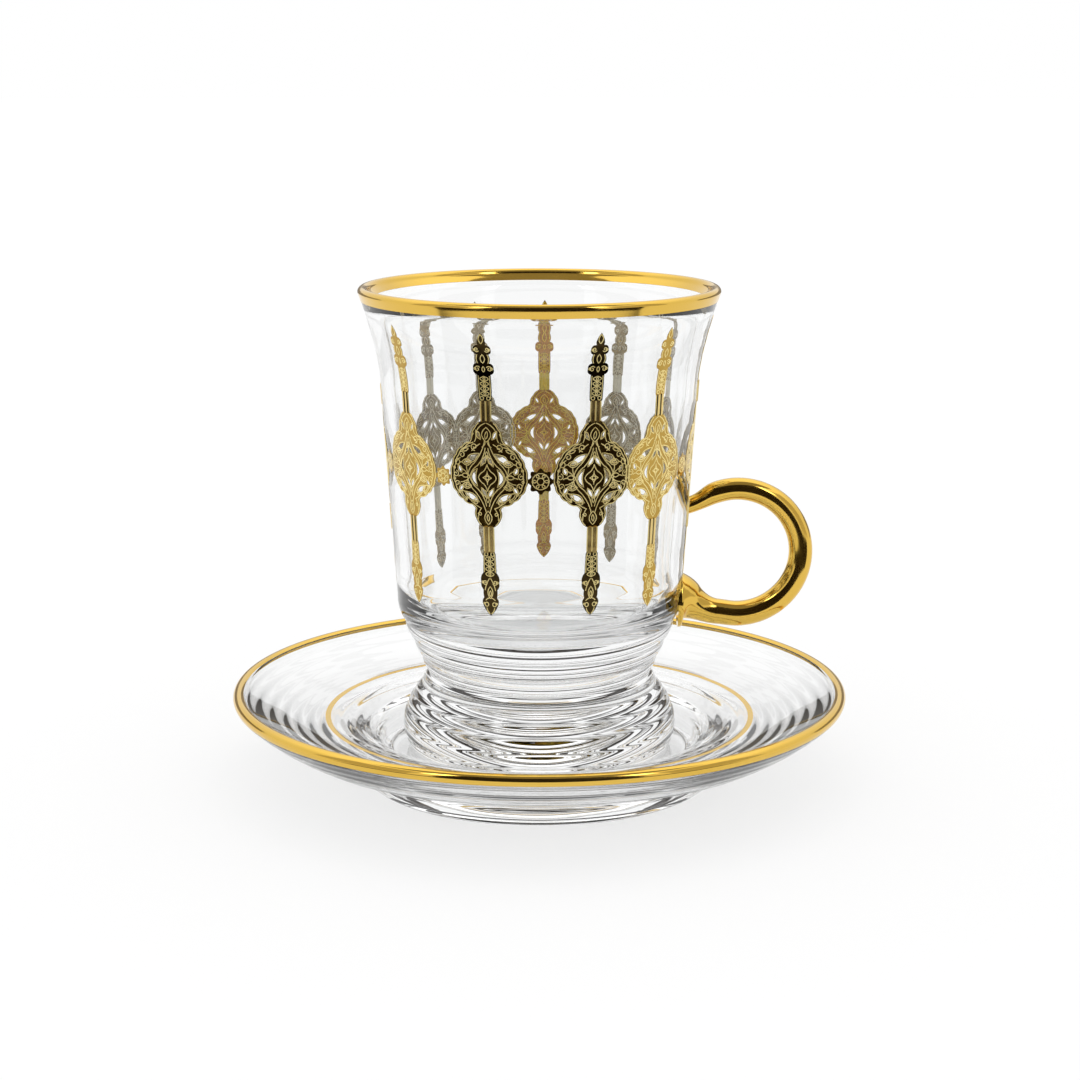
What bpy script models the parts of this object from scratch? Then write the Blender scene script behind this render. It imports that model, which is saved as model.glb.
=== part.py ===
"""A clear tea glass with a looped handle and a ribbed foot, standing on its round glass saucer.

Metres, +Z up. The origin is on the common axis of glass and saucer, on the surface that the saucer
stands on. The handle points along +X.
"""

import math

import bmesh
import bpy

MM = 0.001

# Turning: how many flat sides stand for one full round
ROUND_STEPS = 48

# Heights above the table
GLASS_BASE_Z = 6.0 * MM          # underside of the glass's foot, 0.3 mm above the saucer's floor
GLASS_TOP_Z = 95.0 * MM          # top of the glass's lip
HEEL_TOP_Z = 36.0 * MM           # where the wall ends and the heavy base begins
INSIDE_FLOOR_Z = 31.6 * MM       # edge of the inside floor, where the wall begins to rise
INSIDE_FLOOR_R = 21.0 * MM
INSIDE_FLOOR_DIP = 1.5 * MM      # how much lower the middle of the inside floor lies
BOWL_TOP_Z = 40.5 * MM           # where the rise from the floor has become the wall
WAIST_Z = 20.9 * MM

# The glass's wall: a straight taper with a flare that starts at FLARE_Z
TAPER_BASE_R = 27.35 * MM        # outer radius at HEEL_TOP_Z
TAPER_SLOPE = 0.064              # radius gained for each unit of height
FLARE_Z = 78.0 * MM
FLARE_REACH = 15.2 * MM
FLARE_GAIN = 2.75 * MM
FLARE_POWER = 1.5
LIP_R = 0.92 * MM                # radius of the bead that rounds the lip
BEVEL_Z = 91.6 * MM              # where the slope inside the lip begins
WALL_TOP = 1.9 * MM              # wall thickness at the lip, without the thicker rim
WALL_BOTTOM = 2.4 * MM           # wall thickness at the top of the heel
RIM_FROM_Z = 74.0 * MM           # the wall grows thicker above this height
RIM_REACH = 18.0 * MM
RIM_EXTRA = 1.1 * MM             # thickness gained over that reach

# The foot of the glass, outer radii from the heel down
HEEL_R = 26.05 * MM
UPPER_RIB_R = 24.3 * MM
LOWER_RIB_R = 22.8 * MM
WAIST_R = 21.35 * MM
COLLAR_R = 22.6 * MM
FOOT_R = 26.4 * MM
FOOT_BASE_R = 24.7 * MM
FOOT_HOLLOW_R = 20.5 * MM        # edge of the shallow hollow under the foot
FOOT_HOLLOW_DEPTH = 2.4 * MM
RIB_SWELL = 0.34 * MM            # how far a rib stands out between its two grooves

# The handle: a round loop whose lower end spreads into the wall
LOOP_X = 38.0 * MM
LOOP_Z = 43.85 * MM
LOOP_R = 12.3 * MM               # to the middle of the rod
ROD_ROOT_R = 1.6 * MM
ROD_TOP_R = 2.1 * MM
ROD_BOTTOM_R = 2.45 * MM
ROD_SPREAD_R = 5.3 * MM
ROD_SIDES_SETTING = 4            # gives a rod of twelve flat sides
ARC_FROM_DEG = 111.0
ARC_TO_DEG = -104.0
ARC_POINTS = 17

# The saucer
SAUCER_R = 59.2 * MM
SAUCER_TOP_Z = 17.8 * MM
SAUCER_LIP_R = 1.15 * MM
WELL_R = 33.0 * MM               # edge of the well that the foot stands in
WELL_FLOOR_R = 28.6 * MM
WELL_FLOOR_Z = GLASS_BASE_Z - 0.3 * MM
RING_R = 41.1 * MM               # where the gilt line runs on the upper face
RING_Z = 12.0 * MM
STAND_OUTER_R = 33.9 * MM        # the flat ring that the saucer stands on
STAND_INNER_R = 31.5 * MM
STAND_TOP_R = 35.9 * MM
STAND_TOP_Z = 4.6 * MM
RECESS_Z = 1.5 * MM              # underside inside the standing ring


def arc(start, end, swell, count):
    """Points after start, up to and with end, on an arc that stands out by swell.

    A positive swell lies to the left of the way from start to end.
    """
    (x0, z0), (x1, z1) = start, end
    chord = math.hypot(x1 - x0, z1 - z0)
    points = []
    for i in range(1, count + 1):
        t = i / count
        lift = 4.0 * swell * t * (1.0 - t) / chord
        points.append((x0 + (x1 - x0) * t - (z1 - z0) * lift,
                       z0 + (z1 - z0) * t + (x1 - x0) * lift))
    return points


def round_lip(centre_r, centre_z, radius, count):
    """The half circle over a lip, from its inner side to its outer side."""
    angles = [math.pi * (1.0 - i / count) for i in range(count + 1)]
    return [(centre_r + radius * math.cos(a), centre_z + radius * math.sin(a)) for a in angles]


def outer_wall_r(z):
    """Outer radius of the glass's wall at height z."""
    flare = max(0.0, (z - FLARE_Z) / FLARE_REACH) ** FLARE_POWER * FLARE_GAIN
    return TAPER_BASE_R + TAPER_SLOPE * (z - HEEL_TOP_Z) + flare


def inner_wall_r(z):
    """Inner radius of the glass's wall at height z."""
    share = (z - HEEL_TOP_Z) / (GLASS_TOP_Z - HEEL_TOP_Z)
    rim = max(0.0, (z - RIM_FROM_Z) / RIM_REACH) ** FLARE_POWER * RIM_EXTRA
    return outer_wall_r(z) - (WALL_BOTTOM + (WALL_TOP - WALL_BOTTOM) * share) - rim


def glass_profile():
    """Half section of the glass, from the middle of its inside floor, over the lip, to under its foot."""
    lip_z = GLASS_TOP_Z - LIP_R
    floor_middle = (0.0, INSIDE_FLOOR_Z - INSIDE_FLOOR_DIP)
    floor_corner = (INSIDE_FLOOR_R, INSIDE_FLOOR_Z)
    points = [floor_middle] + arc(floor_middle, floor_corner, -INSIDE_FLOOR_DIP / 4.0, 3)
    points += arc(floor_corner, (inner_wall_r(BOWL_TOP_Z), BOWL_TOP_Z), -1.6 * MM, 6)
    inner_heights = [50.0 * MM, 62.0 * MM, 74.0 * MM, 79.0 * MM, 84.0 * MM, 88.0 * MM, BEVEL_Z]
    points += [(inner_wall_r(z), z) for z in inner_heights]

    lip_inside = (outer_wall_r(lip_z) - 2.0 * LIP_R, lip_z)
    points += arc(points[-1], lip_inside, 0.12 * MM, 2)
    points += round_lip(outer_wall_r(lip_z) - LIP_R, lip_z, LIP_R, 6)[1:]
    outer_heights = [91.0 * MM, 87.0 * MM, 83.0 * MM, 78.0 * MM, 70.0 * MM, 58.0 * MM, 46.0 * MM]
    points += [(outer_wall_r(z), z) for z in outer_heights]

    # the ribs of heel, waist and foot: the groove below each rib, its swell and its points
    ribs = [
        ((HEEL_R, 31.4 * MM), 0.4 * MM, 3),
        ((UPPER_RIB_R, 27.5 * MM), RIB_SWELL, 3),
        ((LOWER_RIB_R, 24.3 * MM), RIB_SWELL, 3),
        ((WAIST_R, WAIST_Z), RIB_SWELL, 3),
        ((COLLAR_R, 18.3 * MM), 0.3 * MM, 2),
        ((24.35 * MM, 16.1 * MM), 0.25 * MM, 2),
        ((25.6 * MM, 13.8 * MM), 0.25 * MM, 2),
        ((FOOT_R, 11.0 * MM), 0.22 * MM, 2),
        ((26.0 * MM, 8.2 * MM), 0.2 * MM, 2),
        ((FOOT_BASE_R, GLASS_BASE_Z), 0.3 * MM, 2),
    ]
    points.append((TAPER_BASE_R, HEEL_TOP_Z))
    for groove, swell, count in ribs:
        points += arc(points[-1], groove, swell, count)
    hollow_edge = (FOOT_HOLLOW_R, GLASS_BASE_Z)
    hollow_middle = (0.0, GLASS_BASE_Z + FOOT_HOLLOW_DEPTH)
    points.append(hollow_edge)
    points += arc(hollow_edge, hollow_middle, -0.6 * MM, 4)
    return points


def saucer_profile():
    """Half section of the saucer, from the middle of its floor, over the lip, to under its middle."""
    lip_r = SAUCER_R - SAUCER_LIP_R
    lip_z = SAUCER_TOP_Z - SAUCER_LIP_R
    well_floor = (WELL_FLOOR_R, WELL_FLOOR_Z)
    well_edge = (WELL_R, 9.9 * MM)
    ring = (RING_R, RING_Z)
    flange = (49.0 * MM, 13.0 * MM)
    lip_inside = (lip_r - SAUCER_LIP_R, lip_z)
    points = [(0.0, WELL_FLOOR_Z), (15.0 * MM, WELL_FLOOR_Z), well_floor]
    points += arc(well_floor, well_edge, -0.55 * MM, 4)
    points += arc(well_edge, ring, 0.35 * MM, 3)
    points += arc(ring, flange, -0.35 * MM, 3)
    points += arc(flange, lip_inside, -0.15 * MM, 3)

    points += round_lip(lip_r, lip_z, SAUCER_LIP_R, 6)[1:]
    under_lip = (58.1 * MM, 15.0 * MM)
    shoulder = (49.4 * MM, 9.0 * MM)
    step = (38.6 * MM, 6.6 * MM)
    stand_top = (STAND_TOP_R, STAND_TOP_Z)
    stand_outer = (STAND_OUTER_R, 0.0)
    stand_inner = (STAND_INNER_R, 0.0)
    recess = (30.2 * MM, RECESS_Z)
    points += arc(points[-1], under_lip, 0.2 * MM, 2)
    points += arc(under_lip, shoulder, 0.35 * MM, 4)
    points += arc(shoulder, step, 0.45 * MM, 4)
    points += arc(step, stand_top, -0.3 * MM, 3)
    points += arc(stand_top, stand_outer, 0.25 * MM, 3)
    points.append(stand_inner)
    points += arc(stand_inner, recess, -0.2 * MM, 2)
    points += [(15.0 * MM, RECESS_Z), (0.0, RECESS_Z)]
    return points


def handle_route():
    """Middle points (x, z) of the handle's rod with the rod's radius at each, from upper to lower end."""
    route = [
        (27.2 * MM, 52.5 * MM, ROD_ROOT_R),
        (28.9 * MM, 53.0 * MM, ROD_ROOT_R),
        (30.4 * MM, 53.6 * MM, 1.65 * MM),
        (31.9 * MM, 54.4 * MM, 1.85 * MM),
    ]
    for i in range(ARC_POINTS):
        share = i / (ARC_POINTS - 1)
        angle = math.radians(ARC_FROM_DEG + (ARC_TO_DEG - ARC_FROM_DEG) * share)
        radius = ROD_TOP_R + (ROD_BOTTOM_R - ROD_TOP_R) * share
        route.append((LOOP_X + LOOP_R * math.cos(angle), LOOP_Z + LOOP_R * math.sin(angle), radius))
    route += [
        (33.5 * MM, 32.1 * MM, 2.5 * MM),
        (31.9 * MM, 32.6 * MM, 2.65 * MM),
        (30.6 * MM, 33.2 * MM, 2.95 * MM),
        (29.6 * MM, 33.7 * MM, 3.4 * MM),
        (28.8 * MM, 34.1 * MM, 4.0 * MM),
        (28.1 * MM, 34.3 * MM, 4.7 * MM),
        (27.4 * MM, 34.35 * MM, ROD_SPREAD_R),
        (26.6 * MM, 34.35 * MM, ROD_SPREAD_R),
    ]
    return route


def plain_material(name, colour, metallic, roughness, transmission):
    material = bpy.data.materials.new(name)
    material.use_nodes = True
    material.diffuse_color = (*colour, 1.0)
    shader = material.node_tree.nodes["Principled BSDF"]
    shader.inputs["Base Color"].default_value = (*colour, 1.0)
    shader.inputs["Metallic"].default_value = metallic
    shader.inputs["Roughness"].default_value = roughness
    shader.inputs["Transmission Weight"].default_value = transmission
    return material


def turned(name, profile, material, collection):
    """An object whose half section is turned round the Z axis by a Screw modifier."""
    mesh = bpy.data.meshes.new(name)
    edges = [(i, i + 1) for i in range(len(profile) - 1)]
    mesh.from_pydata([(x, 0.0, z) for x, z in profile], edges, [])
    mesh.materials.append(material)
    turned_object = bpy.data.objects.new(name, mesh)
    collection.objects.link(turned_object)
    screw = turned_object.modifiers.new("Turn", "SCREW")
    screw.axis = "Z"
    screw.angle = 2.0 * math.pi
    screw.steps = ROUND_STEPS
    screw.render_steps = ROUND_STEPS
    screw.use_merge_vertices = True
    screw.merge_threshold = 0.00001
    screw.use_smooth_shade = True
    return turned_object


def swept_rod(name, route, material, collection):
    """A round rod of changing thickness along a route in the XZ plane, as a closed mesh."""
    curve = bpy.data.curves.new(name, "CURVE")
    curve.dimensions = "3D"
    curve.bevel_depth = 1.0
    curve.bevel_resolution = ROD_SIDES_SETTING
    curve.use_fill_caps = True
    spline = curve.splines.new("POLY")
    spline.points.add(len(route) - 1)
    for point, (x, z, radius) in zip(spline.points, route):
        point.co = (x, 0.0, z, 1.0)
        point.radius = radius
    rod_curve = bpy.data.objects.new(name + "_curve", curve)
    collection.objects.link(rod_curve)

    depsgraph = bpy.context.evaluated_depsgraph_get()
    mesh = bpy.data.meshes.new_from_object(rod_curve.evaluated_get(depsgraph))
    work = bmesh.new()
    work.from_mesh(mesh)
    bmesh.ops.remove_doubles(work, verts=work.verts, dist=0.00001)
    bmesh.ops.recalc_face_normals(work, faces=work.faces)
    work.to_mesh(mesh)
    work.free()
    mesh.materials.clear()
    mesh.materials.append(material)
    rod = bpy.data.objects.new(name, mesh)
    rod.matrix_world = rod_curve.matrix_world
    collection.objects.link(rod)
    bpy.data.objects.remove(rod_curve)
    return rod


def fuse(body, addition, helpers):
    """Joins addition into body, so that the two are one solid, and keeps each one's material."""
    union = body.modifiers.new("Fuse", "BOOLEAN")
    union.operation = "UNION"
    union.solver = "EXACT"
    union.material_mode = "TRANSFER"
    union.object = addition
    addition.hide_render = True
    addition.display_type = "WIRE"
    for collection in addition.users_collection:
        collection.objects.unlink(addition)
    helpers.objects.link(addition)


def make_tea_glass(collection, helpers, clear_glass, gilding):
    glass = turned("tea_glass", glass_profile(), clear_glass, collection)
    handle = swept_rod("handle_guide", handle_route(), gilding, collection)
    fuse(glass, handle, helpers)
    return glass


def make_saucer(collection, clear_glass):
    return turned("saucer", saucer_profile(), clear_glass, collection)


def main():
    for old in list(bpy.data.objects):
        bpy.data.objects.remove(old)
    collection = bpy.data.collections.new("tea_glass_and_saucer")
    helpers = bpy.data.collections.new("helpers")
    bpy.context.scene.collection.children.link(collection)
    bpy.context.scene.collection.children.link(helpers)

    clear_glass = plain_material("clear_glass", (0.96, 0.97, 0.97), 0.0, 0.02, 1.0)
    gilding = plain_material("gilding", (0.86, 0.62, 0.20), 1.0, 0.12, 0.0)
    make_tea_glass(collection, helpers, clear_glass, gilding)
    make_saucer(collection, clear_glass)


main()
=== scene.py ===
# A clear tea glass with gilt ornaments on its glass saucer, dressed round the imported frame
import math
import bmesh
import bpy
from mathutils import Matrix, Vector


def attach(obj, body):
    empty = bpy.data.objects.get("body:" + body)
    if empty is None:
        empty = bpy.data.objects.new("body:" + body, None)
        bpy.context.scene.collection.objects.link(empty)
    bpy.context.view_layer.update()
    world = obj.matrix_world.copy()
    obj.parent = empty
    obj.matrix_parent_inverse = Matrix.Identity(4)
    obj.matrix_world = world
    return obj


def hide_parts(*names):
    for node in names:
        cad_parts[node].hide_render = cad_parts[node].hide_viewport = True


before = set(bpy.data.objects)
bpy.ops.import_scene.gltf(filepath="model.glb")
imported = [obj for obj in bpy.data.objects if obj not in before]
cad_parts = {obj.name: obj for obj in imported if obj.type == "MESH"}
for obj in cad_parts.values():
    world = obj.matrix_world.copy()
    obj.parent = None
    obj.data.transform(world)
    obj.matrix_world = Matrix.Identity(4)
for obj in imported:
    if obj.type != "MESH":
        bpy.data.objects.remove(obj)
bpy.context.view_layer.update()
mm = 0.001


# Lines and outlines

def arc(start, end, swell, count):
    # points after start up to end; a positive swell lies left of the way
    (x0, z0), (x1, z1) = start, end
    chord = math.hypot(x1 - x0, z1 - z0)
    points = []
    for i in range(1, count + 1):
        t = i / count
        lift = 4 * swell * t * (1 - t) / chord
        points.append((x0 + (x1 - x0) * t - (z1 - z0) * lift, z0 + (z1 - z0) * t + (x1 - x0) * lift))
    return points


def roundLip(centreR, centreZ, radius, count):
    angles = [math.pi * (1 - i / count) for i in range(count + 1)]
    return [(centreR + radius * math.cos(a), centreZ + radius * math.sin(a)) for a in angles]


def evenly(points, step):
    # the same line with points about one step apart
    out = [points[0]]
    for a, b in zip(points, points[1:]):
        count = max(1, round(math.dist(a, b) / step))
        for i in range(1, count + 1):
            out.append(tuple(p + (q - p) * i / count for p, q in zip(a, b)))
    return out


def softened(points, passes):
    # rounds the corners of a line and keeps its ends
    for _ in range(passes):
        inner = [tuple((a + 2 * b + c) / 4 for a, b, c in zip(*three))
                 for three in zip(points, points[1:], points[2:])]
        points = [points[0]] + inner + [points[-1]]
    return points


def rippled(points, height, length):
    # fine rings along a line, fading out towards its ends
    total = sum(math.dist(a, b) for a, b in zip(points, points[1:]))
    out, way, last = [], 0.0, len(points) - 1
    for i, (x, z) in enumerate(points):
        before, after = points[max(i - 1, 0)], points[min(i + 1, last)]
        chord = math.dist(before, after)
        way += math.dist(before, (x, z)) if i else 0.0
        fade = min(1.0, way / length, (total - way) / length)
        lift = height * fade * math.sin(2 * math.pi * way / length)
        out.append((x - (after[1] - before[1]) / chord * lift, z + (after[0] - before[0]) / chord * lift))
    return out


def banded(points, outside, inside):
    # a closed outline along a line, standing out on its left and sunk on its right
    left, right = [], []
    last = len(points) - 1
    for i, (x, z) in enumerate(points):
        (x0, z0), (x1, z1) = points[max(i - 1, 0)], points[min(i + 1, last)]
        length = math.dist((x0, z0), (x1, z1))
        nx, nz = -(z1 - z0) / length, (x1 - x0) / length
        left.append((x + nx * outside, z + nz * outside))
        right.append((x - nx * inside, z - nz * inside))
    return left + right[::-1]


# Making pieces

def turn(bm, points, steps, closed=False):
    # spins an outline in the XZ plane once round Z
    verts = [bm.verts.new((x * mm, 0, z * mm)) for x, z in points]
    edges = [bm.edges.new(pair) for pair in zip(verts, verts[1:])]
    if closed:
        edges.append(bm.edges.new((verts[-1], verts[0])))
    bmesh.ops.spin(bm, geom=verts + edges, cent=(0, 0, 0), axis=(0, 0, 1), angle=2 * math.pi,
                   steps=steps, use_merge=True)
    bmesh.ops.remove_doubles(bm, verts=bm.verts, dist=1e-7)
    bmesh.ops.recalc_face_normals(bm, faces=bm.faces)


def curveMesh(name, strokes, bevel, sides, flat=0.0):
    # strokes are (points, closed, radii); flat is the half thickness of a filled 2D outline
    curve = bpy.data.curves.new(name, "CURVE")
    curve.dimensions = "2D" if flat else "3D"
    curve.fill_mode = "BOTH" if flat else "FULL"
    curve.extrude = flat
    curve.bevel_depth = bevel
    curve.bevel_resolution = sides
    curve.use_fill_caps = not flat
    for points, closed, radii in strokes:
        spline = curve.splines.new("POLY")
        spline.points.add(len(points) - 1)
        for point, place, radius in zip(spline.points, points, radii or [1] * len(points)):
            x, y, z = (*place, 0)[:3]
            point.co = (x, y, z, 1)
            point.radius = radius
        spline.use_cyclic_u = closed
    drawn = bpy.data.objects.new(name, curve)
    bpy.context.scene.collection.objects.link(drawn)
    mesh = bpy.data.meshes.new_from_object(drawn.evaluated_get(bpy.context.evaluated_depsgraph_get()))
    bpy.data.objects.remove(drawn)
    bpy.data.curves.remove(curve)
    return mesh


def finished(name, bm, materials, node=None, sharp=35):
    mesh = bpy.data.meshes.new(name)
    bm.to_mesh(mesh)
    bm.free()
    for material in materials:
        mesh.materials.append(material)
    mesh.shade_smooth()
    mesh.set_sharp_from_angle(angle=math.radians(sharp))
    piece = bpy.data.objects.new(name, mesh)
    bpy.context.scene.collection.objects.link(piece)
    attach(piece, "root")
    if node:
        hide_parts(node)
    return piece


# Materials

def groupSocket(group, name, way, kind, value=None):
    socket = group.interface.new_socket(name=name, in_out=way, socket_type=kind)
    if value is not None:
        socket.default_value = value


def makeWaviness():
    # faint unevenness of pressed glass and of gilding: only a normal comes out
    group = bpy.data.node_groups.new("waviness", "ShaderNodeTree")
    groupSocket(group, "Scale", "INPUT", "NodeSocketFloat", 60.0)
    groupSocket(group, "Depth", "INPUT", "NodeSocketFloat", 0.0001)
    groupSocket(group, "Normal", "OUTPUT", "NodeSocketVector")
    nodes, links = group.nodes, group.links
    given, out = nodes.new("NodeGroupInput"), nodes.new("NodeGroupOutput")
    place = nodes.new("ShaderNodeTexCoord")
    noise = nodes.new("ShaderNodeTexNoise")
    noise.inputs["Detail"].default_value = 1.0
    bump = nodes.new("ShaderNodeBump")
    bump.inputs["Strength"].default_value = 1.0
    links.new(place.outputs["Object"], noise.inputs["Vector"])
    links.new(given.outputs["Scale"], noise.inputs["Scale"])
    links.new(given.outputs["Depth"], bump.inputs["Distance"])
    links.new(noise.outputs["Fac"], bump.inputs["Height"])
    links.new(bump.outputs["Normal"], out.inputs["Normal"])
    return group


def makeBurnish():
    # cloudy change of colour and roughness over gilding
    group = bpy.data.node_groups.new("burnish", "ShaderNodeTree")
    groupSocket(group, "Scale", "INPUT", "NodeSocketFloat", 90.0)
    groupSocket(group, "Thin", "INPUT", "NodeSocketColor", (0.8, 0.5, 0.1, 1))
    groupSocket(group, "Thick", "INPUT", "NodeSocketColor", (0.9, 0.6, 0.15, 1))
    groupSocket(group, "Smoothest", "INPUT", "NodeSocketFloat", 0.06)
    groupSocket(group, "Roughest", "INPUT", "NodeSocketFloat", 0.16)
    groupSocket(group, "Colour", "OUTPUT", "NodeSocketColor")
    groupSocket(group, "Roughness", "OUTPUT", "NodeSocketFloat")
    nodes, links = group.nodes, group.links
    given, out = nodes.new("NodeGroupInput"), nodes.new("NodeGroupOutput")
    place = nodes.new("ShaderNodeTexCoord")
    noise = nodes.new("ShaderNodeTexNoise")
    noise.inputs["Detail"].default_value = 3.0
    colour = nodes.new("ShaderNodeMix")
    colour.data_type = "RGBA"
    rough = nodes.new("ShaderNodeMapRange")
    rough.inputs["From Min"].default_value = 0.35
    rough.inputs["From Max"].default_value = 0.65
    links.new(place.outputs["Object"], noise.inputs["Vector"])
    links.new(given.outputs["Scale"], noise.inputs["Scale"])
    links.new(noise.outputs["Fac"], colour.inputs["Factor"])
    links.new(given.outputs["Thin"], colour.inputs["A"])
    links.new(given.outputs["Thick"], colour.inputs["B"])
    links.new(noise.outputs["Fac"], rough.inputs["Value"])
    links.new(given.outputs["Smoothest"], rough.inputs["To Min"])
    links.new(given.outputs["Roughest"], rough.inputs["To Max"])
    links.new(colour.outputs["Result"], out.inputs["Colour"])
    links.new(rough.outputs["Result"], out.inputs["Roughness"])
    return group


waviness = makeWaviness()
burnish = makeBurnish()


def withNormal(material, scale, depth):
    nodes, links = material.node_tree.nodes, material.node_tree.links
    wave = nodes.new("ShaderNodeGroup")
    wave.node_tree = waviness
    wave.inputs["Scale"].default_value = scale
    wave.inputs["Depth"].default_value = depth
    links.new(wave.outputs["Normal"], nodes["Principled BSDF"].inputs["Normal"])


def clearGlass(name, look):
    material = bpy.data.materials.new(name)
    material.use_nodes = True
    shader = material.node_tree.nodes["Principled BSDF"]
    shader.inputs["Base Color"].default_value = (*look["tint"], 1)
    shader.inputs["Metallic"].default_value = 0.0
    shader.inputs["Roughness"].default_value = look["roughness"]
    shader.inputs["IOR"].default_value = look["ior"]
    shader.inputs["Transmission Weight"].default_value = 1.0
    withNormal(material, look["waveScale"], look["waveDepth"])
    return material


def gilding(name, look):
    material = bpy.data.materials.new(name)
    material.use_nodes = True
    nodes, links = material.node_tree.nodes, material.node_tree.links
    shader = nodes["Principled BSDF"]
    shader.inputs["Metallic"].default_value = look["metallic"]
    cloud = nodes.new("ShaderNodeGroup")
    cloud.node_tree = burnish
    cloud.inputs["Scale"].default_value = look["cloudScale"]
    cloud.inputs["Thin"].default_value = (*look["thin"], 1)
    cloud.inputs["Thick"].default_value = (*look["thick"], 1)
    cloud.inputs["Smoothest"].default_value = look["smoothest"]
    cloud.inputs["Roughest"].default_value = look["roughest"]
    links.new(cloud.outputs["Colour"], shader.inputs["Base Color"])
    links.new(cloud.outputs["Roughness"], shader.inputs["Roughness"])
    withNormal(material, look["waveScale"], look["waveDepth"])
    return material


glassLook = {"tint": (0.97, 0.975, 0.975), "roughness": 0.0, "ior": 1.5,
             "waveScale": 70.0, "waveDepth": 0.00006}
saucerLook = {**glassLook, "waveScale": 50.0, "waveDepth": 0.00008}
goldLook = {"thin": (0.70, 0.44, 0.07), "thick": (0.80, 0.53, 0.11), "cloudScale": 60.0, "metallic": 1.0,
            "smoothest": 0.08, "roughest": 0.15, "waveScale": 120.0, "waveDepth": 0.00002}
# the ornaments' ground, raised lines and round shafts, as they look on the outside of the glass
# the ground's darker gold is partly its own tone and partly painted shade between the raised lines
plateLookWithPaintedShade = {"thin": (0.40, 0.25, 0.045), "thick": (0.56, 0.37, 0.09), "cloudScale": 400.0, "metallic": 1.0,
             "smoothest": 0.06, "roughest": 0.16, "waveScale": 700.0, "waveDepth": 0.00001}
# painted reflection: a near-black ground for the ends of the front plates, standing in for the dark
# surroundings they mirror
tipLookPaintedReflection = {**plateLookWithPaintedShade, "thin": (0.03, 0.02, 0.008), "thick": (0.07, 0.045, 0.015)}
reliefLook = {"thin": (0.88, 0.68, 0.22), "thick": (1.0, 0.88, 0.46), "cloudScale": 300.0, "metallic": 0.7,
              "smoothest": 0.28, "roughest": 0.42, "waveScale": 900.0, "waveDepth": 0.00001}
rodLook = {**reliefLook, "thin": (0.66, 0.47, 0.16), "thick": (0.80, 0.62, 0.27), "metallic": 1.0,
           "smoothest": 0.16, "roughest": 0.26}
# the same ornaments, seen from behind through the glass; one of them is amber
# painted light: these colours are lightened past the gilding's own, and the lines made near white, for the
# light that reaches them poorly inside the glass
backLookPaintedLight = {**reliefLook, "thin": (0.30, 0.23, 0.12), "thick": (0.48, 0.39, 0.23), "metallic": 0.8,
            "smoothest": 0.2, "roughest": 0.35}
backLineLookPaintedLight = {**backLookPaintedLight, "thin": (1.0, 0.90, 0.66), "thick": (1.0, 0.97, 0.80), "metallic": 0.1}
amberLookPaintedLight = {**backLookPaintedLight, "thin": (0.40, 0.15, 0.0), "thick": (0.64, 0.29, 0.005), "metallic": 0.6}
amberLineLookPaintedLight = {**backLookPaintedLight, "thin": (1.0, 0.66, 0.03), "thick": (1.0, 0.85, 0.12), "metallic": 0.1}
glassMaterial = clearGlass("clearGlass", glassLook)
saucerMaterial = clearGlass("saucerGlass", saucerLook)
goldMaterial = gilding("brightGilding", goldLook)
reliefMaterial = gilding("raisedGilding", reliefLook)
plateMaterialWithPaintedShade = gilding("flatGildingWithPaintedShade", plateLookWithPaintedShade)
# the from-behind materials carry painted light
backMaterial = gilding("gildingFromBehindPaintedLight", backLookPaintedLight)
backLineMaterial = gilding("linesFromBehindPaintedLight", backLineLookPaintedLight)
amberMaterial = gilding("amberFromBehindPaintedLight", amberLookPaintedLight)
amberLineMaterial = gilding("amberLinesPaintedLight", amberLineLookPaintedLight)
rodMaterial = gilding("smoothShafts", rodLook)
tipMaterialPaintedReflection = gilding("tipsPaintedReflection", tipLookPaintedReflection)
# which material of an ornament a face has, by its place in the lists below
facePart = {"ground": 0, "lines": 1, "groundBack": 2, "linesBack": 3, "shafts": 4, "paintedReflectionTips": 5}
ornamentMaterials = [plateMaterialWithPaintedShade, reliefMaterial, backMaterial, backLineMaterial, rodMaterial]
amberMaterials = [plateMaterialWithPaintedShade, reliefMaterial, amberMaterial, amberLineMaterial, rodMaterial]
frontMaterials = ornamentMaterials + [tipMaterialPaintedReflection]
print("materials made")


# The glass: sizes in millimetres, as in the solids

glass = {
    "baseZ": 6.0, "topZ": 95.0, "heelTopZ": 36.0, "taperBaseR": 27.35, "taperSlope": 0.064,
    "flareZ": 78.0, "flareReach": 15.2, "flareGain": 2.75, "flarePower": 1.5,
    "wallTop": 1.9, "wallBottom": 2.4, "rimFromZ": 74.0, "rimReach": 18.0, "rimExtra": 1.1,
    "lipR": 0.92, "bevelZ": 91.6, "bevelSwell": 0.12,
    "bowlFloorR": 21.0, "bowlFloorZ": 31.6, "bowlTopZ": 40.5, "bowlSwell": 1.6, "bowlDip": 1.5,
    "hollowR": 20.5, "hollowDepth": 2.4, "hollowSwell": 0.6,
    # radius and height of each groove of heel, waist and foot, and the swell of the rib above it
    "ribs": (
        (26.05, 31.4, 0.4), (24.3, 27.5, 0.34), (22.8, 24.3, 0.34), (21.35, 20.9, 0.34), (22.6, 18.3, 0.3),
        (24.35, 16.1, 0.25), (25.6, 13.8, 0.25), (26.4, 11.0, 0.22), (26.0, 8.2, 0.2), (24.7, 6.0, 0.3),
    ),
    # heights of the wall's rings: inside from, close together from, inside to, outside to
    "innerFromZ": 42, "closeFromZ": 76, "innerToZ": 91, "outerToZ": 37,
    "beadRingZ": (93.9, 93.6, 93.2, 92.9, 92.6, 92.0),
    "bevelStep": 0.3, "fineStep": 0.2, "step": 0.6, "softPasses": 1, "turns": 224, "sharpDeg": 60,
}
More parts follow.
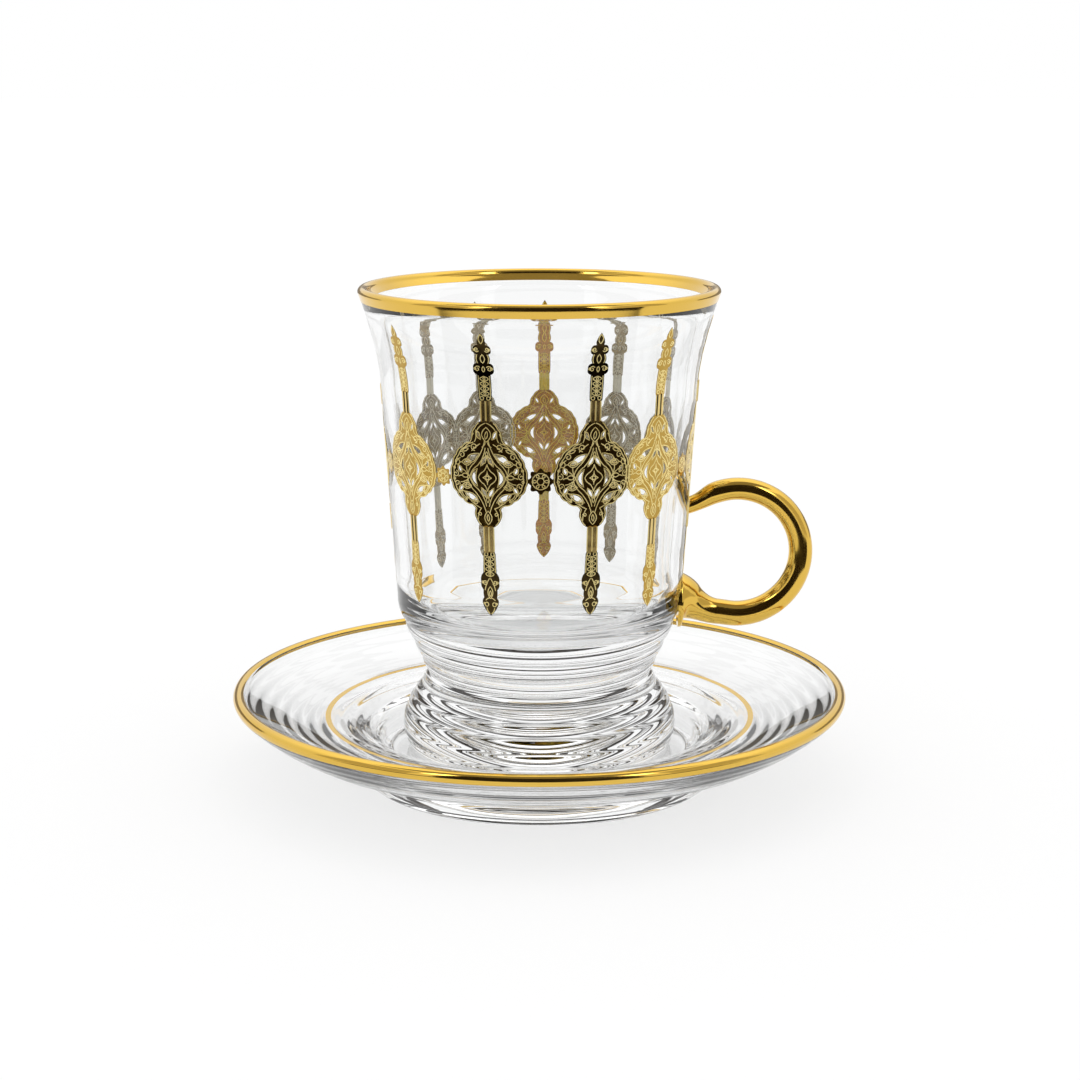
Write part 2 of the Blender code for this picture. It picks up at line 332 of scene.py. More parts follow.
gilt = {"lipOutsideZ": 92.5, "lipInsideZ": 92.9, "proud": 0.05, "sunk": 0.04}


def outerWallR(z):
    flare = max(0.0, (z - glass["flareZ"]) / glass["flareReach"]) ** glass["flarePower"]
    return glass["taperBaseR"] + glass["taperSlope"] * (z - glass["heelTopZ"]) + flare * glass["flareGain"]


def innerWallR(z):
    share = (z - glass["heelTopZ"]) / (glass["topZ"] - glass["heelTopZ"])
    rim = max(0.0, (z - glass["rimFromZ"]) / glass["rimReach"]) ** glass["flarePower"] * glass["rimExtra"]
    return outerWallR(z) - (glass["wallBottom"] + (glass["wallTop"] - glass["wallBottom"]) * share) - rim


def glassOutline():
    # from the middle of the inside floor up the inner wall, over the lip, down outside and under the foot
    g = glass
    lipZ = g["topZ"] - g["lipR"]
    lipMiddleR = outerWallR(lipZ) - g["lipR"]
    floorMiddle, floorCorner = (0, g["bowlFloorZ"] - g["bowlDip"]), (g["bowlFloorR"], g["bowlFloorZ"])
    bowl = [floorMiddle] + arc(floorMiddle, floorCorner, -g["bowlDip"] / 4, 8)
    bowl += arc(floorCorner, (innerWallR(g["bowlTopZ"]), g["bowlTopZ"]), -g["bowlSwell"], 24)
    wall = [(innerWallR(z), z) for z in range(g["innerFromZ"], g["closeFromZ"], 2)]
    wall += [(innerWallR(z), z) for z in range(g["closeFromZ"], g["innerToZ"])]
    bevel = (innerWallR(g["bevelZ"]), g["bevelZ"])
    wall += evenly([bevel] + arc(bevel, (lipMiddleR - g["lipR"], lipZ), g["bevelSwell"], 8), g["bevelStep"])
    wall += roundLip(lipMiddleR, lipZ, g["lipR"], 18)[1:]
    wall += [(outerWallR(z), z) for z in g["beadRingZ"]]
    wall += [(outerWallR(z), z) for z in range(g["innerToZ"], g["closeFromZ"], -1)]
    wall += [(outerWallR(z), z) for z in range(g["closeFromZ"], g["outerToZ"], -2)]

    ribs = [(g["taperBaseR"], g["heelTopZ"])]
    for grooveR, grooveZ, swell in g["ribs"]:
        ribs += arc(ribs[-1], (grooveR, grooveZ), swell, 12)
    ribs = evenly(ribs, g["fineStep"])
    hollow = (g["hollowR"], g["baseZ"])
    under = [ribs[-1], hollow] + arc(hollow, (0, g["baseZ"] + g["hollowDepth"]), -g["hollowSwell"], 16)
    return softened(evenly(bowl, g["step"]) + wall + ribs + evenly(under, g["step"])[1:], g["softPasses"])


def makeGlass():
    outline = glassOutline()
    bm = bmesh.new()
    turn(bm, outline, glass["turns"])
    finished("teaGlassBody", bm, [glassMaterial], "tea_glass", glass["sharpDeg"])

    top = outline.index(max(outline, key=lambda point: point[1]))
    inside = [p for p in outline[:top] if p[1] > gilt["lipInsideZ"]]
    outside = [p for p in outline[top:] if p[1] > gilt["lipOutsideZ"]]
    bm = bmesh.new()
    turn(bm, banded(inside + outside, gilt["proud"], gilt["sunk"]), glass["turns"], closed=True)
    finished("lipGilding", bm, [goldMaterial], None, glass["sharpDeg"])


makeGlass()
print("glass turned")


# The handle: its rod runs on one curve and is gilt all over

handle = {
    "loopX": 38.0, "loopZ": 43.85, "loopR": 12.3, "fromDeg": 111.0, "toDeg": -104.0, "arcPoints": 17,
    "topR": 2.1, "bottomR": 2.45,
    # reach from the axis, height and thickness of the rod where it grows out of the glass
    "upperRoot": ((27.2, 52.5, 1.6), (28.9, 53.0, 1.6), (30.4, 53.6, 1.65), (31.9, 54.4, 1.85)),
    "lowerRoot": (
        (33.5, 32.1, 2.5), (31.9, 32.6, 2.65), (30.6, 33.2, 2.95), (29.6, 33.7, 3.4),
        (28.8, 34.1, 4.0), (28.1, 34.3, 4.7), (27.4, 34.35, 5.3), (26.6, 34.35, 5.3),
    ),
    "sides": 10, "between": 5, "softPasses": 3, "sunk": 0.15, "heelSlope": 0.28, "sharpDeg": 50,
}


def handleRoute():
    h = handle
    route = list(h["upperRoot"])
    for i in range(h["arcPoints"]):
        share = i / (h["arcPoints"] - 1)
        angle = math.radians(h["fromDeg"] + (h["toDeg"] - h["fromDeg"]) * share)
        radius = h["topR"] + (h["bottomR"] - h["topR"]) * share
        route.append((h["loopX"] + h["loopR"] * math.cos(angle),
                      h["loopZ"] + h["loopR"] * math.sin(angle), radius))
    return route + list(h["lowerRoot"])


def throughPoints(route, between):
    # a smooth curve through all points
    out = []
    last = len(route) - 1
    for i in range(last):
        p0, p1, p2, p3 = route[max(i - 1, 0)], route[i], route[i + 1], route[min(i + 2, last)]
        for j in range(between):
            t = j / between
            out.append(tuple(0.5 * (2 * b + (c - a) * t + (2 * a - 5 * b + 4 * c - d) * t ** 2
                                    + (3 * b - a - 3 * c + d) * t ** 3)
                             for a, b, c, d in zip(p0, p1, p2, p3)))
    out.append(route[-1])
    return out


def makeHandle():
    h = handle
    route = softened(throughPoints(handleRoute(), h["between"]), h["softPasses"])
    places = [(x * mm, 0, z * mm) for x, z, _ in route]
    mesh = curveMesh("handleRod", [(places, False, [r for _, _, r in route])], mm, h["sides"])
    bm = bmesh.new()
    bm.from_mesh(mesh)
    bpy.data.meshes.remove(mesh)
    bmesh.ops.remove_doubles(bm, verts=bm.verts, dist=1e-6)
    for vert in bm.verts:  # both ends stop just under the wall's surface
        height = vert.co.z / mm
        wall = outerWallR(height)
        if height <= glass["heelTopZ"]:
            wall = glass["taperBaseR"] - h["heelSlope"] * (glass["heelTopZ"] - height)
        reach = math.hypot(vert.co.x, vert.co.y) / mm
        if reach < wall - h["sunk"]:
            vert.co.xy *= (wall - h["sunk"]) / reach
    bmesh.ops.recalc_face_normals(bm, faces=bm.faces)
    finished("handle", bm, [goldMaterial], None, h["sharpDeg"])


makeHandle()
print("handle swept")


# The saucer

saucer = {
    "rimR": 59.2, "topZ": 17.8, "lipR": 1.15, "ringR": 41.1, "ringZ": 12.0, "ringWidth": 1.05,
    "centreR": 15.0, "floorR": 28.6, "floorZ": 5.7, "wellR": 33.0, "wellZ": 9.9, "flange": (49.0, 13.0),
    "underLip": (58.1, 15.0), "shoulder": (49.4, 9.0), "underStep": (38.6, 6.6),
    "standTop": (35.9, 4.6), "standOuterR": 33.9, "standInnerR": 31.5, "recess": (30.2, 1.5),
    "rippleHeight": 0.05, "rippleLength": 2.4, "underHeight": 0.045, "underLength": 2.9,
    "giltOutsideZ": 15.9, "giltInsideZ": 17.35, "giltInsideReach": 0.2,
    "fineStep": 0.25, "step": 0.6, "softPasses": 1, "turns": 256, "sharpDeg": 60,
}


def saucerOutline():
    # from the middle of the floor out over the lip and back under the flange and the standing ring
    s = saucer
    lipMiddle = (s["rimR"] - s["lipR"], s["topZ"] - s["lipR"])
    lipInside = (lipMiddle[0] - s["lipR"], lipMiddle[1])
    floorEdge, wellEdge = (s["floorR"], s["floorZ"]), (s["wellR"], s["wellZ"])
    ring = (s["ringR"], s["ringZ"])
    inner = [floorEdge] + arc(floorEdge, wellEdge, -0.55, 10) + arc(wellEdge, ring, 0.35, 10)
    inner = rippled(evenly(inner, s["fineStep"]), s["rippleHeight"], s["rippleLength"])
    points = evenly([(0, s["floorZ"]), (s["centreR"], s["floorZ"]), floorEdge], s["step"])[:-1] + inner
    rising = [inner[-1]] + arc(ring, s["flange"], -0.35, 12) + arc(s["flange"], lipInside, -0.15, 12)
    points += evenly(rising, s["step"])[1:] + roundLip(*lipMiddle, s["lipR"], 16)[1:]

    standOuter, standInner = (s["standOuterR"], 0), (s["standInnerR"], 0)
    outer = [points[-1]] + arc(points[-1], s["underLip"], 0.2, 4)
    outer += arc(s["underLip"], s["shoulder"], 0.35, 16) + arc(s["shoulder"], s["underStep"], 0.45, 14)
    outer = rippled(evenly(outer, s["fineStep"]), s["underHeight"], s["underLength"])
    outer += arc(s["underStep"], s["standTop"], -0.3, 8) + arc(s["standTop"], standOuter, 0.25, 8)
    outer += [standInner] + arc(standInner, s["recess"], -0.2, 4)
    outer += [(s["centreR"], s["recess"][1]), (0, s["recess"][1])]
    return softened(points + evenly(outer, s["step"])[1:], s["softPasses"])


def between(points, low, high):
    # the stretch of a rising outline from one radius to another
    ends = []
    for limit in (low, high):
        for (r, z), (nextR, nextZ) in zip(points, points[1:]):
            if r <= limit < nextR:
                ends.append((limit, z + (nextZ - z) * (limit - r) / (nextR - r)))
    return [ends[0]] + [p for p in points if low + 0.05 < p[0] < high - 0.05] + [ends[-1]]


def makeSaucer():
    s = saucer
    outline = saucerOutline()
    bm = bmesh.new()
    turn(bm, outline, s["turns"])
    finished("saucerBody", bm, [saucerMaterial], "saucer", s["sharpDeg"])

    top = outline.index(max(outline, key=lambda point: point[1]))
    rimFrom = s["rimR"] - 2 * s["lipR"] - s["giltInsideReach"]
    inside = [p for p in outline[:top] if p[0] > rimFrom and p[1] > s["giltInsideZ"]]
    outside = [p for p in outline[top:] if p[1] > s["giltOutsideZ"]]
    bm = bmesh.new()
    turn(bm, banded(inside + outside, gilt["proud"], gilt["sunk"]), s["turns"], closed=True)
    finished("saucerLipGilding", bm, [goldMaterial], None, s["sharpDeg"])

    half = s["ringWidth"] / 2
    line = between(outline[:top], s["ringR"] - half, s["ringR"] + half)
    bm = bmesh.new()
    turn(bm, banded(line, gilt["proud"] / 2, gilt["sunk"]), s["turns"], closed=True)
    finished("saucerRingGilding", bm, [goldMaterial], None, s["sharpDeg"])


makeSaucer()
print("saucer turned")


# The ornaments: pierced gilt plates with raised lines, drawn flat and then laid round the wall.
# Across is the way round the glass from an ornament's middle, up is the height above the table.

ornament = {
    "azimuths": (-129.5, -92, -54.5, -18.6, 19.6, 46.6, 84, 115, 146.5, 178, -155.5),
    # past the heights in the last pair, a front plate's ground gets a painted dark reflection
    "rearFrom": 90, "rearDrop": 1.2, "amberAzimuth": 178, "frontReach": 30, "paintedReflectionBeyond": (49.4, 77.4),
    "halfPlate": 0.03, "plateEdge": 0.02, "plateDepth": 0.015, "cutAcross": 0.8, "cutUp": 1.6,
    "lineR": 0.125, "flatten": 0.7, "lineDepth": 0.01, "lineStep": 0.4,
    "rodR": 0.42, "rodAcross": 0.48, "rodSpans": ((77.5, 73.6), (54.4, 49.5)),
    "waveSpans": ((81.9, 78.3), (48.8, 45.0)), "waveHalf": 0.8, "waveCrossings": 4,
    # lines along the plate's edge: how far in, from height, to height
    "rims": ((0.2, 54.5, 73.5), (0.8, 59.0, 70.0)),
    "linkHeight": 63.0, "linkGap": 2.2, "linkLap": 0.15, "linkPetals": 8,
}
# half outline from tip to tip: (half width, height, bulge of the stretch that ends there)
halfOutline = (
    (0, 89.8, 0), (0.8, 88.1, 0.12), (0.7, 87.6, 0), (1.65, 86.8, 0.3), (1.1, 85.9, 0.25),
    (1.15, 84.3, 0.25), (1.9, 83.3, 0.3), (1.25, 82.2, 0.3), (1.2, 77.6, 0.05), (1.0, 77.3, 0),
    (1.0, 73.7, 0), (2.3, 72.5, 0.2), (3.0, 71.0, 0.15), (3.5, 69.7, -0.15), (5.0, 68.8, 0.2),
    (6.3, 67.3, 0.25), (7.0, 65.6, 0.2), (7.4, 63.7, 0.2), (7.1, 61.9, 0.2), (6.2, 60.4, 0.25),
    (4.9, 59.2, 0.25), (3.4, 58.4, 0.25), (2.4, 57.6, -0.15), (2.3, 55.7, 0.25), (1.0, 54.3, 0.2),
    (0.97, 49.7, 0), (1.15, 49.3, 0), (1.25, 45.7, 0), (1.7, 43.9, 0.25), (1.3, 42.5, 0.2),
    (1.2, 41.0, 0.08), (1.45, 39.8, 0.2), (0, 37.7, 0.2),
)


def bow(start, end, swell, count=8):
    return [start] + arc(start, end, swell, count)


def turned(points, degrees, middle):
    c, s = math.cos(math.radians(degrees)), math.sin(math.radians(degrees))
    return [(middle[0] + x * c - y * s, middle[1] + x * s + y * c) for x, y in points]


def leaf(middle, length, width, degrees=0, count=7):
    tip = length / 2
    there, back = bow((-tip, 0), (tip, 0), width / 2, count), bow((tip, 0), (-tip, 0), width / 2, count)
    return turned(there[:-1] + back[:-1], degrees, middle)


def loop(middle, across, up, count=14):
    return [(middle[0] + across * math.cos(2 * math.pi * i / count),
             middle[1] + up * math.sin(2 * math.pi * i / count)) for i in range(count)]


def scroll(middle, radius, startDeg, turns, count=16):
    points = []
    for i in range(count + 1):
        share = i / count
        angle = math.radians(startDeg + 360 * turns * share)
        r = radius * (1 - 0.78 * share)
        points.append((middle[0] + r * math.cos(angle), middle[1] + r * math.sin(angle)))
    return points


def mirrored(points):
    return [(-x, y) for x, y in points]


def outlineHalf(inset=0.0):
    points = [halfOutline[0][:2]]
    for across, up, bulge in halfOutline[1:]:
        count = 2 if bulge == 0 else 6
        points += arc(points[-1], (across, up), bulge, count)
    return [(max(across - inset, 0), up) for across, up in points]


def openings():
    # where the plate is pierced, right side only
    return [
        bow((2.0, 64.8), (2.0, 62.0), 0.95)[:-1] + bow((2.0, 62.0), (2.0, 64.8), -0.3)[:-1],
        leaf((2.95, 66.85), 3.0, 0.95, -32),
        leaf((3.1, 59.75), 2.8, 0.9, 30),
        leaf((0.62, 66.5), 1.9, 0.5, -62),
        leaf((0.62, 60.6), 1.8, 0.5, 62),
        leaf((5.35, 64.75), 1.1, 0.5, 70),
        leaf((5.2, 61.2), 1.1, 0.45, -60),
        leaf((1.55, 71.2), 1.5, 0.4, 65),
    ]


def chain(start, *stretches):
    # bows that follow one another; a stretch is (across, up, swell)
    lines = []
    for across, up, swell in stretches:
        lines.append(bow(start, (across, up), swell))
        start = (across, up)
    return lines


def lozengeLines():
    lines = chain((0, 64.7), (0.85, 63.4, -0.3), (0, 62.1, -0.3))
    lines += chain((0, 65.9), (0.75, 64.5, -0.12), (1.7, 63.4, 0.15), (0.75, 62.3, 0.15), (0, 60.9, -0.12))
    lines += chain((0.25, 68.9), (1.9, 65.5, -0.3), (3.4, 63.4, 0.25), (1.9, 61.3, 0.25), (0.25, 58.1, -0.3))
    lines += chain((0.3, 70.3), (2.45, 66.0, -0.3), (3.85, 63.4, 0.3), (2.45, 60.8, 0.3), (0.3, 56.8, -0.3))
    return lines


def tendrilLines():
    # over the round middle, then where it narrows into the shafts
    lines = [
        bow((3.1, 69.1), (5.6, 67.2), 0.45), bow((4.9, 66.0), (5.3, 65.9), 0.05),
        bow((4.9, 63.5), (5.7, 63.3), 0.1), bow((3.4, 63.4), (4.0, 65.6), -0.2),
        bow((3.4, 63.4), (4.2, 61.4), 0.2), bow((3.85, 63.9), (5.3, 64.9), 0.15),
        bow((3.85, 62.9), (5.3, 62.3), -0.15), bow((1.2, 69.6), (2.9, 68.2), 0.1),
        bow((1.2, 57.7), (3.3, 59.0), -0.1), bow((5.2, 66.8), (6.3, 65.4), 0.2),
        bow((0.2, 69.9), (0.9, 69.0), -0.15), scroll((4.9, 67.35), 0.62, 60, 1.1),
        scroll((6.25, 63.75), 0.62, 100, 1.2), scroll((6.0, 62.0), 0.58, 200, -1.2),
        scroll((2.35, 69.0), 0.72, -100, 1.3), scroll((2.25, 58.9), 0.6, 120, -1.3),
    ]
    lines += chain((0.1, 73.4), (2.0, 71.4, 0.35), (2.3, 69.9, -0.15))
    return lines + [
        bow((2.45, 71.5), (2.85, 70.3), 0.08), bow((1.3, 57.7), (1.9, 55.6), 0.2),
        scroll((1.55, 56.6), 0.4, 0, 1.1),
    ]


def shaftEdgeLines():
    return [
        bow((1.05, 82.0), (1.0, 77.8), 0.03), bow((0.95, 77.4), (0.95, 73.8), 0.01),
        bow((0.04, 77.4), (0.04, 73.8), 0.01), bow((0.93, 54.3), (0.93, 49.7), 0.01),
        bow((0.04, 54.3), (0.04, 49.7), 0.01), bow((1.0, 49.1), (1.05, 45.8), 0.03),
    ]


def tipLines():
    return [
        scroll((0.98, 86.8), 0.48, -150, 1.2), bow((0.95, 85.9), (0.95, 84.3), 0.2),
        scroll((1.1, 83.25), 0.55, 150, -1.2), scroll((0.95, 43.9), 0.5, -150, 1.2),
        bow((0.1, 44.7), (1.0, 42.4), 0.12), bow((0.1, 41.0), (0.9, 40.5), 0.1),
        bow((0.15, 38.0), (0.75, 39.1), -0.12),
    ]


def leavesAndBeads():
    lines = [
        leaf((3.95, 66.05), 1.9, 1.15), leaf((3.95, 66.05), 1.1, 0.5), leaf((4.3, 63.6), 1.4, 0.75),
        leaf((4.0, 61.75), 1.9, 1.1), leaf((4.0, 61.75), 1.1, 0.5), leaf((4.35, 60.1), 1.9, 0.9, 38),
        leaf((4.15, 68.35), 1.3, 0.5, -25), loop((5.85, 66.0), 0.46, 0.5), loop((0.72, 39.75), 0.34, 0.38),
        loop((0.6, 77.9), 0.32, 0.32), loop((0.6, 49.2), 0.32, 0.34),
    ]
    for across, up, radius in ((1.35, 86.75, 0.18), (1.55, 83.3, 0.2), (1.35, 43.9, 0.2), (1.15, 39.9, 0.16),
                               (6.5, 64.9, 0.2), (6.55, 62.85, 0.2), (5.5, 60.5, 0.24), (4.2, 59.2, 0.2)):
        lines.append(loop((across, up), radius, radius, 8))
    return lines


def openingRims():
    # a line a little outside each opening
    rims = []
    for edge in openings():
        middle = [sum(p[axis] for p in edge) / len(edge) for axis in (0, 1)]
        rims.append([tuple(m + (c - m) * 1.12 + math.copysign(0.1, c - m) for c, m in zip(p, middle))
                     for p in edge])
    return rims


def sideLines():
    # raised lines of the right side: (points, closed)
    openLines = lozengeLines() + tendrilLines() + shaftEdgeLines() + tipLines()
    closedLines = leavesAndBeads() + openingRims()
    return [(line, False) for line in openLines] + [(line, True) for line in closedLines]


def middleLines():
    lines = [
        leaf((0, 71.3), 2.7, 1.7, 90), leaf((0, 71.2), 1.5, 0.5, 80), leaf((0, 56.0), 2.5, 1.4, 90),
        leaf((0, 56.0), 1.3, 0.45, 96), leaf((0, 88.7), 1.7, 0.85, 90), leaf((0, 85.1), 1.6, 0.8, 90),
        leaf((0, 83.2), 1.0, 0.5, 90), leaf((0, 42.0), 2.3, 0.95, 90), leaf((0, 41.8), 1.1, 0.4, 90),
        loop((0, 63.4), 0.3, 0.34), leaf((0, 67.6), 1.2, 0.5, 90), leaf((0, 59.4), 1.2, 0.5, 90),
    ]
    return [(line, True) for line in lines]


def shaftLines(top, bottom):
    # two waves that cross, with a bead in each eye
    half, crossings = ornament["waveHalf"], ornament["waveCrossings"]
    lines = []
    steps = crossings * 6
    for sign in (-1, 1):
        wave = [(sign * half * math.sin(math.pi * crossings * i / steps), top + (bottom - top) * i / steps)
                for i in range(steps + 1)]
        lines.append((wave, False))
    for i in range(crossings):
        eye = top + (bottom - top) * (i + 0.5) / crossings
        lines.append((loop((0, eye), 0.2, 0.26, 8), True))
    return lines


def stroke(line, closed, radius):
    depth = ornament["lineDepth"] / ornament["flatten"]
    points = [(x, y, depth) for x, y in (line if closed else evenly(line, ornament["lineStep"]))]
    return points, closed, [radius] * len(points)


def rodStrokes():
    side = ornament["rodAcross"]
    return [stroke([(across, top), (across, bottom)], False, ornament["rodR"])
            for top, bottom in ornament["rodSpans"] for across in (-side, side)]


def ornamentStrokes():
    o = ornament
    lines = middleLines()
    for span in o["waveSpans"]:
        lines += shaftLines(*span)
    rims = [([p for p in outlineHalf(inset) if low < p[1] < high], False) for inset, low, high in o["rims"]]
    for line, closed in sideLines() + rims:
        lines += [(line, closed), (mirrored(line), closed)]
    return [stroke(line, closed, o["lineR"]) for line, closed in lines]


def plateBmesh(outlines):
    o = ornament
    flats = [(points, True, None) for points in outlines]
    mesh = curveMesh("plate", flats, o["plateEdge"], 0, o["halfPlate"])
    bm = bmesh.new()
    bm.from_mesh(mesh)
    bpy.data.meshes.remove(mesh)
    bmesh.ops.remove_doubles(bm, verts=bm.verts, dist=1e-4)
    bmesh.ops.translate(bm, vec=(0, 0, o["plateDepth"]), verts=bm.verts)
    for axis, gap in ((0, o["cutAcross"]), (1, o["cutUp"])):
        places = [v.co[axis] for v in bm.verts]
        cut = min(places) + gap
        while cut < max(places):
            where, facing = Vector((0, 0, 0)), Vector((0, 0, 0))
            where[axis], facing[axis] = cut, 1
            bmesh.ops.bisect_plane(bm, geom=bm.verts[:] + bm.edges[:] + bm.faces[:],
                                   plane_co=where, plane_no=facing)
            cut += gap
    bmesh.ops.triangulate(bm, faces=[f for f in bm.faces if len(f.verts) > 4])
    bmesh.ops.recalc_face_normals(bm, faces=bm.faces)
    for face in bm.faces:
        face.material_index = facePart["groundBack" if face.normal.z < -0.5 else "ground"]
    return bm


def addStrokes(bm, strokes, part="lines"):
    mesh = curveMesh("strokes", strokes, 1, 1)
    known = len(bm.faces)
    bm.from_mesh(mesh)
    bpy.data.meshes.remove(mesh)
    bm.faces.ensure_lookup_table()
    added = bm.faces[known:]
    for face in added:
        face.material_index = facePart["linesBack" if face.normal.z < -0.1 else part]
    verts = list({v for face in added for v in face.verts})
    bmesh.ops.scale(bm, vec=(1, 1, ornament["flatten"]), verts=verts)
    bmesh.ops.remove_doubles(bm, verts=verts, dist=1e-4)


def layOnWall(bm, azimuth):
    drop = ornament["rearDrop"] if abs(azimuth) > ornament["rearFrom"] else 0
    for vert in bm.verts:
        across, up, depth = vert.co
        up -= drop
        wall = outerWallR(up)
        angle = math.radians(azimuth) + across / wall
        reach = (wall + depth) * mm
        vert.co = (reach * math.sin(angle), -reach * math.cos(angle), up * mm)


def paintReflectionOnTips(bm):
    # painted reflection: the ends of the front plates get a near-black ground standing in for the dark
    # surroundings they would mirror
    low, high = ornament["paintedReflectionBeyond"]
    for face in bm.faces:
        if face.material_index == facePart["ground"] and not low < face.calc_center_median().y < high:
            face.material_index = facePart["paintedReflectionTips"]


def makeOrnaments():
    o = ornament
    half = outlineHalf()
    whole = half + mirrored(half)[-2:0:-1]
    pierced = openings()
    flat = plateBmesh([whole] + pierced + [mirrored(line) for line in pierced])
    addStrokes(flat, ornamentStrokes())
    addStrokes(flat, rodStrokes(), "shafts")
    for number, azimuth in enumerate(o["azimuths"], 1):
        bm = flat.copy()
        materials = amberMaterials if azimuth == o["amberAzimuth"] else ornamentMaterials
        # plates facing the camera get the painted dark reflection at their ends
        if abs(azimuth) < o["frontReach"]:
            paintReflectionOnTips(bm)
            materials = frontMaterials
        layOnWall(bm, azimuth)
        finished(f"ornament_{number:02d}", bm, materials)
    flat.free()


def rosette(middle, radius, petals, count=48):
    points = []
    for i in range(count):
        angle = 2 * math.pi * i / count
        reach = radius * (0.88 + 0.12 * math.cos(petals * angle))
        points.append((middle[0] + reach * math.cos(angle), middle[1] + reach * math.sin(angle)))
    return points


def makeLinks():
    # a small rosette wherever two ornaments leave a gap
    o = ornament
    azimuths = sorted(o["azimuths"])
    width = 2 * max(row[0] for row in halfOutline)
    wall = outerWallR(o["linkHeight"])
    bm = bmesh.new()
    for here, after in zip(azimuths, azimuths[1:] + [azimuths[0] + 360]):
        gap = math.radians(after - here) * wall - width
        if gap < o["linkGap"]:
            continue
        r = gap / 2 + o["linkLap"]
        middle = (0, o["linkHeight"])
        one = plateBmesh([rosette(middle, r, o["linkPetals"])])
        lines = [(loop(middle, r * 0.62, r * 0.62), True), (loop(middle, r * 0.26, r * 0.26, 10), True)]
        for i in range(6):
            lines.append((turned(leaf((r * 0.44, 0), r * 0.3, r * 0.2, 0, 4), 60 * i, middle), True))
        addStrokes(one, [stroke(line, closed, o["lineR"]) for line, closed in lines])
        layOnWall(one, (here + after) / 2)
        mesh = bpy.data.meshes.new("link")
        one.to_mesh(mesh)
        one.free()
        bm.from_mesh(mesh)
        bpy.data.meshes.remove(mesh)
    finished("ornamentLinks", bm, ornamentMaterials)


makeOrnaments()
makeLinks()
print("ornaments laid on")


# Studio: pale floor, white surroundings, dark cards that only reflections see, and the camera

studio = {
    "floorR": 6.0, "floorColour": (0.25, 0.25, 0.25), "floorGlow": 0.7,
    "horizon": 1.0, "zenith": 1.4, "horizonTo": 0.35, "zenithFrom": 0.85,
    "cardColour": (0.018, 0.013, 0.010), "dimColour": (0.3, 0.28, 0.26), "paleColour": (0.6, 0.57, 0.53),
    "softboxColour": (1, 0.98, 0.94), "softbox": 4.0,
    # cards stand on a ball round the object: their heights and sides are angles, 0 is towards the camera
    "cardR": 0.75, "cardLift": 0.002, "frontHeights": (0, 54), "frontHalf": 36,
    "floorCardReach": (0.15, 1.2), "floorCardHalf": 66, "floorCardLift": 0.0006,
    "softboxHeights": (36, 52), "softboxWidth": 10,
    "sideHeights": (4, 46), "sideTo": 84, "canopyHeights": (54, 89), "canopyHalf": 90,
    "rearHeights": (0.5, 14), "rearSides": (115, 245), "darkBands": ((5, 9), (16, 22), (30, 34), (44, 52)),
    "lens": 75.96, "sensor": 36.0, "eye": (0.00013, -0.4283, 0.1387), "pitch": 0.2130,
}


def plainMaterial(name, colour, roughness):
    material = bpy.data.materials.new(name)
    material.use_nodes = True
    shader = material.node_tree.nodes["Principled BSDF"]
    shader.inputs["Base Color"].default_value = (*colour, 1)
    shader.inputs["Roughness"].default_value = roughness
    shader.inputs["Specular IOR Level"].default_value = 0.0
    return material


def stagePiece(name, bm, material):
    mesh = bpy.data.meshes.new(name)
    bm.to_mesh(mesh)
    bm.free()
    mesh.materials.append(material)
    piece = bpy.data.objects.new(name, mesh)
    bpy.context.scene.collection.objects.link(piece)
    return piece


def makeFloor():
    # a lit table: part of its brightness is its own
    pale = plainMaterial("paleFloor", studio["floorColour"], 0.9)
    shader = pale.node_tree.nodes["Principled BSDF"]
    shader.inputs["Emission Color"].default_value = (1, 1, 1, 1)
    shader.inputs["Emission Strength"].default_value = studio["floorGlow"]
    bm = bmesh.new()
    bmesh.ops.create_circle(bm, cap_ends=True, segments=96, radius=studio["floorR"])
    stagePiece("floor", bm, pale)


def reflectionOnly(card, through=False):
    card.visible_camera = False
    card.visible_diffuse = False
    card.visible_shadow = False
    card.visible_transmission = through


def fan(name, points, fromDeg, toDeg, material):
    # a card: a line of (reach, height) swept round the object's axis
    bm = bmesh.new()
    turns = Matrix.Rotation(math.radians(fromDeg - 90), 4, "Z")
    verts = [bm.verts.new(turns @ Vector((reach, 0, height))) for reach, height in points]
    edges = [bm.edges.new(pair) for pair in zip(verts, verts[1:])]
    bmesh.ops.spin(bm, geom=verts + edges, cent=(0, 0, 0), axis=(0, 0, 1),
                   angle=math.radians(toDeg - fromDeg), steps=72)
    return stagePiece(name, bm, material)


def dome(lowDeg, highDeg, count=8):
    turns = [math.radians(lowDeg + (highDeg - lowDeg) * i / count) for i in range(count + 1)]
    return [(studio["cardR"] * math.cos(a), studio["cardR"] * math.sin(a) + studio["cardLift"])
            for a in turns]


